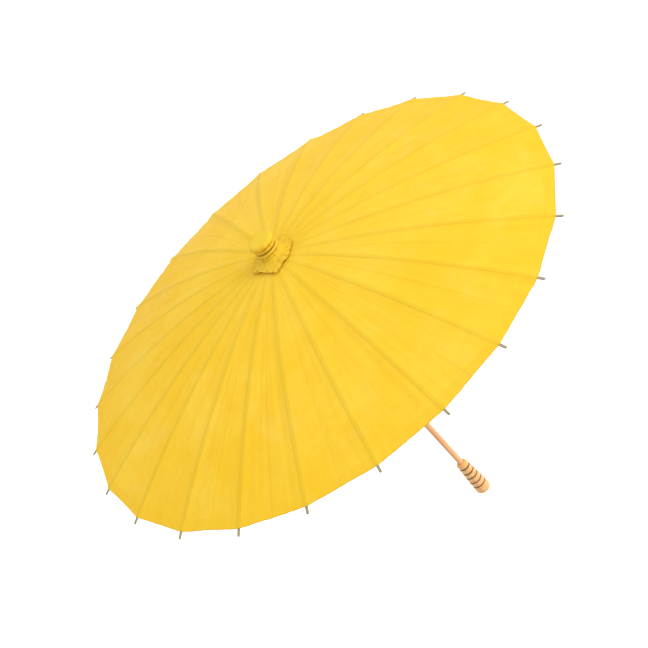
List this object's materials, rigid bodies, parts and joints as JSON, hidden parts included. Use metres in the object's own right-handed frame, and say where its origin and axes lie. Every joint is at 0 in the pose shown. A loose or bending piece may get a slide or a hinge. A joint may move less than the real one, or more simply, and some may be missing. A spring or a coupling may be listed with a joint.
{
  "type": "oil paper umbrella",
  "caption": "Folding paper parasol: pleated yellow paper on bamboo ribs, a sliding runner with stretchers, a wooden shaft and a grooved grip.",
  "frame": {"origin": "centre of the grip's flat end", "axes": "+Z along the shaft towards the canopy; +X along the first rib; the catch faces -Y"},
  "size_m": [0.812, 0.812, 0.6299],
  "materials": {
    "oiled_paper": "oiled, satin, slightly see-through",
    "cap_paper": "oiled, crumpled",
    "rib_bamboo": "split bamboo, matt",
    "stretcher_bamboo": "split bamboo, matt",
    "shaft_wood": "satin varnish",
    "grip_wood": "satin varnish, burnt grooves",
    "turned_wood": "turned, waxed",
    "wire": "drawn wire",
    "spring_steel": "brushed",
    "thread": "cotton thread"
  },
  "bodies": {
    "frame": {"shaft": "shaft_wood", "grip": "grip_wood", "head": "turned_wood", "head_wire": "wire", "canopy": "oiled_paper", "cap": "cap_paper", "cap_tie": "thread", "catch_pin": "wire", "stop_pin": "wire"},
    "runner": {"runner": "turned_wood", "runner_wire": "wire"},
    "catch": {"catch": "spring_steel"},
    "rib_01": {"rib_01": "rib_bamboo"},
    "stretcher_01": {"stretcher_01": "stretcher_bamboo"},
    "rib_02": {"rib_02": "rib_bamboo"},
    "stretcher_02": {"stretcher_02": "stretcher_bamboo"},
    "rib_03": {"rib_03": "rib_bamboo"},
    "stretcher_03": {"stretcher_03": "stretcher_bamboo"},
    "rib_04": {"rib_04": "rib_bamboo"},
    "stretcher_04": {"stretcher_04": "stretcher_bamboo"},
    "rib_05": {"rib_05": "rib_bamboo"},
    "stretcher_05": {"stretcher_05": "stretcher_bamboo"},
    "rib_06": {"rib_06": "rib_bamboo"},
    "stretcher_06": {"stretcher_06": "stretcher_bamboo"},
    "rib_07": {"rib_07": "rib_bamboo"},
    "stretcher_07": {"stretcher_07": "stretcher_bamboo"},
    "rib_08": {"rib_08": "rib_bamboo"},
    "stretcher_08": {"stretcher_08": "stretcher_bamboo"},
    "rib_09": {"rib_09": "rib_bamboo"},
    "stretcher_09": {"stretcher_09": "stretcher_bamboo"},
    "rib_10": {"rib_10": "rib_bamboo"},
    "stretcher_10": {"stretcher_10": "stretcher_bamboo"},
    "rib_11": {"rib_11": "rib_bamboo"},
    "stretcher_11": {"stretcher_11": "stretcher_bamboo"},
    "rib_12": {"rib_12": "rib_bamboo"},
    "stretcher_12": {"stretcher_12": "stretcher_bamboo"},
    "rib_13": {"rib_13": "rib_bamboo"},
    "stretcher_13": {"stretcher_13": "stretcher_bamboo"},
    "rib_14": {"rib_14": "rib_bamboo"},
    "stretcher_14": {"stretcher_14": "stretcher_bamboo"},
    "rib_15": {"rib_15": "rib_bamboo"},
    "stretcher_15": {"stretcher_15": "stretcher_bamboo"},
    "rib_16": {"rib_16": "rib_bamboo"},
    "stretcher_16": {"stretcher_16": "stretcher_bamboo"},
    "rib_17": {"rib_17": "rib_bamboo"},
    "stretcher_17": {"stretcher_17": "stretcher_bamboo"},
    "rib_18": {"rib_18": "rib_bamboo"},
    "stretcher_18": {"stretcher_18": "stretcher_bamboo"},
    "rib_19": {"rib_19": "rib_bamboo"},
    "stretcher_19": {"stretcher_19": "stretcher_bamboo"},
    "rib_20": {"rib_20": "rib_bamboo"},
    "stretcher_20": {"stretcher_20": "stretcher_bamboo"},
    "rib_21": {"rib_21": "rib_bamboo"},
    "stretcher_21": {"stretcher_21": "stretcher_bamboo"},
    "rib_22": {"rib_22": "rib_bamboo"},
    "stretcher_22": {"stretcher_22": "stretcher_bamboo"},
    "rib_23": {"rib_23": "rib_bamboo"},
    "stretcher_23": {"stretcher_23": "stretcher_bamboo"},
    "rib_24": {"rib_24": "rib_bamboo"},
    "stretcher_24": {"stretcher_24": "stretcher_bamboo"}
  },
  "joints": [
    {"name": "runner_slide", "type": "slide", "parent": "frame", "child": "runner", "axis": [0, 0, -1], "range_m": [0, 0.1921], "deforming": ["canopy", "cap", "catch"]},
    {"name": "catch_press", "type": "hinge", "parent": "frame", "child": "catch", "pos_m": [0, -0.0016, 0.4091], "axis": [-1, 0, 0], "range_deg": [0, 6], "stiffness_Nm_per_rad": 0.4},
    {"name": "rib_01_fold", "type": "hinge", "parent": "frame", "child": "rib_01", "pos_m": [0.0155, 0, 0.59359], "axis": [0, 1, 0], "range_deg": [0, 77.21]},
    {"name": "stretcher_01_turn", "type": "hinge", "parent": "rib_01", "child": "stretcher_01", "pos_m": [0.15, 0, 0.57639], "axis": [0, -1, 0], "range_deg": [0, 130.06]},
    {"name": "rib_02_fold", "type": "hinge", "parent": "frame", "child": "rib_02", "pos_m": [0.01497, 0.00401, 0.59359], "axis": [-0.2588, 0.9659, 0], "range_deg": [0, 77.21]},
    {"name": "stretcher_02_turn", "type": "hinge", "parent": "rib_02", "child": "stretcher_02", "pos_m": [0.14489, 0.03882, 0.57639], "axis": [0.2588, -0.9659, 0], "range_deg": [0, 130.06]},
    {"name": "rib_03_fold", "type": "hinge", "parent": "frame", "child": "rib_03", "pos_m": [0.01342, 0.00775, 0.59359], "axis": [-0.5, 0.866, 0], "range_deg": [0, 77.21]},
    {"name": "stretcher_03_turn", "type": "hinge", "parent": "rib_03", "child": "stretcher_03", "pos_m": [0.1299, 0.075, 0.57639], "axis": [0.5, -0.866, 0], "range_deg": [0, 130.06]},
    {"name": "rib_04_fold", "type": "hinge", "parent": "frame", "child": "rib_04", "pos_m": [0.01096, 0.01096, 0.59359], "axis": [-0.7071, 0.7071, 0], "range_deg": [0, 77.21]},
    {"name": "stretcher_04_turn", "type": "hinge", "parent": "rib_04", "child": "stretcher_04", "pos_m": [0.10607, 0.10607, 0.57639], "axis": [0.7071, -0.7071, 0], "range_deg": [0, 130.06]},
    {"name": "rib_05_fold", "type": "hinge", "parent": "frame", "child": "rib_05", "pos_m": [0.00775, 0.01342, 0.59359], "axis": [-0.866, 0.5, 0], "range_deg": [0, 77.21]},
    {"name": "stretcher_05_turn", "type": "hinge", "parent": "rib_05", "child": "stretcher_05", "pos_m": [0.075, 0.1299, 0.57639], "axis": [0.866, -0.5, 0], "range_deg": [0, 130.06]},
    {"name": "rib_06_fold", "type": "hinge", "parent": "frame", "child": "rib_06", "pos_m": [0.00401, 0.01497, 0.59359], "axis": [-0.9659, 0.2588, 0], "range_deg": [0, 77.21]},
    {"name": "stretcher_06_turn", "type": "hinge", "parent": "rib_06", "child": "stretcher_06", "pos_m": [0.03882, 0.14489, 0.57639], "axis": [0.9659, -0.2588, 0], "range_deg": [0, 130.06]},
    {"name": "rib_07_fold", "type": "hinge", "parent": "frame", "child": "rib_07", "pos_m": [0, 0.0155, 0.59359], "axis": [-1, 0, 0], "range_deg": [0, 77.21]},
    {"name": "stretcher_07_turn", "type": "hinge", "parent": "rib_07", "child": "stretcher_07", "pos_m": [0, 0.15, 0.57639], "axis": [1, 0, 0], "range_deg": [0, 130.06]},
    {"name": "rib_08_fold", "type": "hinge", "parent": "frame", "child": "rib_08", "pos_m": [-0.00401, 0.01497, 0.59359], "axis": [-0.9659, -0.2588, 0], "range_deg": [0, 77.21]},
    {"name": "stretcher_08_turn", "type": "hinge", "parent": "rib_08", "child": "stretcher_08", "pos_m": [-0.03882, 0.14489, 0.57639], "axis": [0.9659, 0.2588, 0], "range_deg": [0, 130.06]},
    {"name": "rib_09_fold", "type": "hinge", "parent": "frame", "child": "rib_09", "pos_m": [-0.00775, 0.01342, 0.59359], "axis": [-0.866, -0.5, 0], "range_deg": [0, 77.21]},
    {"name": "stretcher_09_turn", "type": "hinge", "parent": "rib_09", "child": "stretcher_09", "pos_m": [-0.075, 0.1299, 0.57639], "axis": [0.866, 0.5, 0], "range_deg": [0, 130.06]},
    {"name": "rib_10_fold", "type": "hinge", "parent": "frame", "child": "rib_10", "pos_m": [-0.01096, 0.01096, 0.59359], "axis": [-0.7071, -0.7071, 0], "range_deg": [0, 77.21]},
    {"name": "stretcher_10_turn", "type": "hinge", "parent": "rib_10", "child": "stretcher_10", "pos_m": [-0.10607, 0.10607, 0.57639], "axis": [0.7071, 0.7071, 0], "range_deg": [0, 130.06]},
    {"name": "rib_11_fold", "type": "hinge", "parent": "frame", "child": "rib_11", "pos_m": [-0.01342, 0.00775, 0.59359], "axis": [-0.5, -0.866, 0], "range_deg": [0, 77.21]},
    {"name": "stretcher_11_turn", "type": "hinge", "parent": "rib_11", "child": "stretcher_11", "pos_m": [-0.1299, 0.075, 0.57639], "axis": [0.5, 0.866, 0], "range_deg": [0, 130.06]},
    {"name": "rib_12_fold", "type": "hinge", "parent": "frame", "child": "rib_12", "pos_m": [-0.01497, 0.00401, 0.59359], "axis": [-0.2588, -0.9659, 0], "range_deg": [0, 77.21]},
    {"name": "stretcher_12_turn", "type": "hinge", "parent": "rib_12", "child": "stretcher_12", "pos_m": [-0.14489, 0.03882, 0.57639], "axis": [0.2588, 0.9659, 0], "range_deg": [0, 130.06]},
    {"name": "rib_13_fold", "type": "hinge", "parent": "frame", "child": "rib_13", "pos_m": [-0.0155, 0, 0.59359], "axis": [0, -1, 0], "range_deg": [0, 77.21]},
    {"name": "stretcher_13_turn", "type": "hinge", "parent": "rib_13", "child": "stretcher_13", "pos_m": [-0.15, 0, 0.57639], "axis": [0, 1, 0], "range_deg": [0, 130.06]},
    {"name": "rib_14_fold", "type": "hinge", "parent": "frame", "child": "rib_14", "pos_m": [-0.01497, -0.00401, 0.59359], "axis": [0.2588, -0.9659, 0], "range_deg": [0, 77.21]},
    {"name": "stretcher_14_turn", "type": "hinge", "parent": "rib_14", "child": "stretcher_14", "pos_m": [-0.14489, -0.03882, 0.57639], "axis": [-0.2588, 0.9659, 0], "range_deg": [0, 130.06]},
    {"name": "rib_15_fold", "type": "hinge", "parent": "frame", "child": "rib_15", "pos_m": [-0.01342, -0.00775, 0.59359], "axis": [0.5, -0.866, 0], "range_deg": [0, 77.21]},
    {"name": "stretcher_15_turn", "type": "hinge", "parent": "rib_15", "child": "stretcher_15", "pos_m": [-0.1299, -0.075, 0.57639], "axis": [-0.5, 0.866, 0], "range_deg": [0, 130.06]},
    {"name": "rib_16_fold", "type": "hinge", "parent": "frame", "child": "rib_16", "pos_m": [-0.01096, -0.01096, 0.59359], "axis": [0.7071, -0.7071, 0], "range_deg": [0, 77.21]},
    {"name": "stretcher_16_turn", "type": "hinge", "parent": "rib_16", "child": "stretcher_16", "pos_m": [-0.10607, -0.10607, 0.57639], "axis": [-0.7071, 0.7071, 0], "range_deg": [0, 130.06]},
    {"name": "rib_17_fold", "type": "hinge", "parent": "frame", "child": "rib_17", "pos_m": [-0.00775, -0.01342, 0.59359], "axis": [0.866, -0.5, 0], "range_deg": [0, 77.21]},
    {"name": "stretcher_17_turn", "type": "hinge", "parent": "rib_17", "child": "stretcher_17", "pos_m": [-0.075, -0.1299, 0.57639], "axis": [-0.866, 0.5, 0], "range_deg": [0, 130.06]},
    {"name": "rib_18_fold", "type": "hinge", "parent": "frame", "child": "rib_18", "pos_m": [-0.00401, -0.01497, 0.59359], "axis": [0.9659, -0.2588, 0], "range_deg": [0, 77.21]},
    {"name": "stretcher_18_turn", "type": "hinge", "parent": "rib_18", "child": "stretcher_18", "pos_m": [-0.03882, -0.14489, 0.57639], "axis": [-0.9659, 0.2588, 0], "range_deg": [0, 130.06]},
    {"name": "rib_19_fold", "type": "hinge", "parent": "frame", "child": "rib_19", "pos_m": [0, -0.0155, 0.59359], "axis": [1, 0, 0], "range_deg": [0, 77.21]},
    {"name": "stretcher_19_turn", "type": "hinge", "parent": "rib_19", "child": "stretcher_19", "pos_m": [0, -0.15, 0.57639], "axis": [-1, 0, 0], "range_deg": [0, 130.06]},
    {"name": "rib_20_fold", "type": "hinge", "parent": "frame", "child": "rib_20", "pos_m": [0.00401, -0.01497, 0.59359], "axis": [0.9659, 0.2588, 0], "range_deg": [0, 77.21]},
    {"name": "stretcher_20_turn", "type": "hinge", "parent": "rib_20", "child": "stretcher_20", "pos_m": [0.03882, -0.14489, 0.57639], "axis": [-0.9659, -0.2588, 0], "range_deg": [0, 130.06]},
    {"name": "rib_21_fold", "type": "hinge", "parent": "frame", "child": "rib_21", "pos_m": [0.00775, -0.01342, 0.59359], "axis": [0.866, 0.5, 0], "range_deg": [0, 77.21]},
    {"name": "stretcher_21_turn", "type": "hinge", "parent": "rib_21", "child": "stretcher_21", "pos_m": [0.075, -0.1299, 0.57639], "axis": [-0.866, -0.5, 0], "range_deg": [0, 130.06]},
    {"name": "rib_22_fold", "type": "hinge", "parent": "frame", "child": "rib_22", "pos_m": [0.01096, -0.01096, 0.59359], "axis": [0.7071, 0.7071, 0], "range_deg": [0, 77.21]},
    {"name": "stretcher_22_turn", "type": "hinge", "parent": "rib_22", "child": "stretcher_22", "pos_m": [0.10607, -0.10607, 0.57639], "axis": [-0.7071, -0.7071, 0], "range_deg": [0, 130.06]},
    {"name": "rib_23_fold", "type": "hinge", "parent": "frame", "child": "rib_23", "pos_m": [0.01342, -0.00775, 0.59359], "axis": [0.5, 0.866, 0], "range_deg": [0, 77.21]},
    {"name": "stretcher_23_turn", "type": "hinge", "parent": "rib_23", "child": "stretcher_23", "pos_m": [0.1299, -0.075, 0.57639], "axis": [-0.5, -0.866, 0], "range_deg": [0, 130.06]},
    {"name": "rib_24_fold", "type": "hinge", "parent": "frame", "child": "rib_24", "pos_m": [0.01497, -0.00401, 0.59359], "axis": [0.2588, 0.9659, 0], "range_deg": [0, 77.21]},
    {"name": "stretcher_24_turn", "type": "hinge", "parent": "rib_24", "child": "stretcher_24", "pos_m": [0.14489, -0.03882, 0.57639], "axis": [-0.2588, -0.9659, 0], "range_deg": [0, 130.06]}
  ],
  "couplings": [
    {"joint": "rib_01_fold", "follows": "runner_slide", "rad_per_m": 7.0143},
    {"joint": "stretcher_01_turn", "follows": "runner_slide", "rad_per_m": 11.816},
    {"joint": "rib_02_fold", "follows": "runner_slide", "rad_per_m": 7.0143},
    {"joint": "stretcher_02_turn", "follows": "runner_slide", "rad_per_m": 11.816},
    {"joint": "rib_03_fold", "follows": "runner_slide", "rad_per_m": 7.0143},
    {"joint": "stretcher_03_turn", "follows": "runner_slide", "rad_per_m": 11.816},
    {"joint": "rib_04_fold", "follows": "runner_slide", "rad_per_m": 7.0143},
    {"joint": "stretcher_04_turn", "follows": "runner_slide", "rad_per_m": 11.816},
    {"joint": "rib_05_fold", "follows": "runner_slide", "rad_per_m": 7.0143},
    {"joint": "stretcher_05_turn", "follows": "runner_slide", "rad_per_m": 11.816},
    {"joint": "rib_06_fold", "follows": "runner_slide", "rad_per_m": 7.0143},
    {"joint": "stretcher_06_turn", "follows": "runner_slide", "rad_per_m": 11.816},
    {"joint": "rib_07_fold", "follows": "runner_slide", "rad_per_m": 7.0143},
    {"joint": "stretcher_07_turn", "follows": "runner_slide", "rad_per_m": 11.816},
    {"joint": "rib_08_fold", "follows": "runner_slide", "rad_per_m": 7.0143},
    {"joint": "stretcher_08_turn", "follows": "runner_slide", "rad_per_m": 11.816},
    {"joint": "rib_09_fold", "follows": "runner_slide", "rad_per_m": 7.0143},
    {"joint": "stretcher_09_turn", "follows": "runner_slide", "rad_per_m": 11.816},
    {"joint": "rib_10_fold", "follows": "runner_slide", "rad_per_m": 7.0143},
    {"joint": "stretcher_10_turn", "follows": "runner_slide", "rad_per_m": 11.816},
    {"joint": "rib_11_fold", "follows": "runner_slide", "rad_per_m": 7.0143},
    {"joint": "stretcher_11_turn", "follows": "runner_slide", "rad_per_m": 11.816},
    {"joint": "rib_12_fold", "follows": "runner_slide", "rad_per_m": 7.0143},
    {"joint": "stretcher_12_turn", "follows": "runner_slide", "rad_per_m": 11.816},
    {"joint": "rib_13_fold", "follows": "runner_slide", "rad_per_m": 7.0143},
    {"joint": "stretcher_13_turn", "follows": "runner_slide", "rad_per_m": 11.816},
    {"joint": "rib_14_fold", "follows": "runner_slide", "rad_per_m": 7.0143},
    {"joint": "stretcher_14_turn", "follows": "runner_slide", "rad_per_m": 11.816},
    {"joint": "rib_15_fold", "follows": "runner_slide", "rad_per_m": 7.0143},
    {"joint": "stretcher_15_turn", "follows": "runner_slide", "rad_per_m": 11.816},
    {"joint": "rib_16_fold", "follows": "runner_slide", "rad_per_m": 7.0143},
    {"joint": "stretcher_16_turn", "follows": "runner_slide", "rad_per_m": 11.816},
    {"joint": "rib_17_fold", "follows": "runner_slide", "rad_per_m": 7.0143},
    {"joint": "stretcher_17_turn", "follows": "runner_slide", "rad_per_m": 11.816},
    {"joint": "rib_18_fold", "follows": "runner_slide", "rad_per_m": 7.0143},
    {"joint": "stretcher_18_turn", "follows": "runner_slide", "rad_per_m": 11.816},
    {"joint": "rib_19_fold", "follows": "runner_slide", "rad_per_m": 7.0143},
    {"joint": "stretcher_19_turn", "follows": "runner_slide", "rad_per_m": 11.816},
    {"joint": "rib_20_fold", "follows": "runner_slide", "rad_per_m": 7.0143},
    {"joint": "stretcher_20_turn", "follows": "runner_slide", "rad_per_m": 11.816},
    {"joint": "rib_21_fold", "follows": "runner_slide", "rad_per_m": 7.0143},
    {"joint": "stretcher_21_turn", "follows": "runner_slide", "rad_per_m": 11.816},
    {"joint": "rib_22_fold", "follows": "runner_slide", "rad_per_m": 7.0143},
    {"joint": "stretcher_22_turn", "follows": "runner_slide", "rad_per_m": 11.816},
    {"joint": "rib_23_fold", "follows": "runner_slide", "rad_per_m": 7.0143},
    {"joint": "stretcher_23_turn", "follows": "runner_slide", "rad_per_m": 11.816},
    {"joint": "rib_24_fold", "follows": "runner_slide", "rad_per_m": 7.0143},
    {"joint": "stretcher_24_turn", "follows": "runner_slide", "rad_per_m": 11.816}
  ]
}
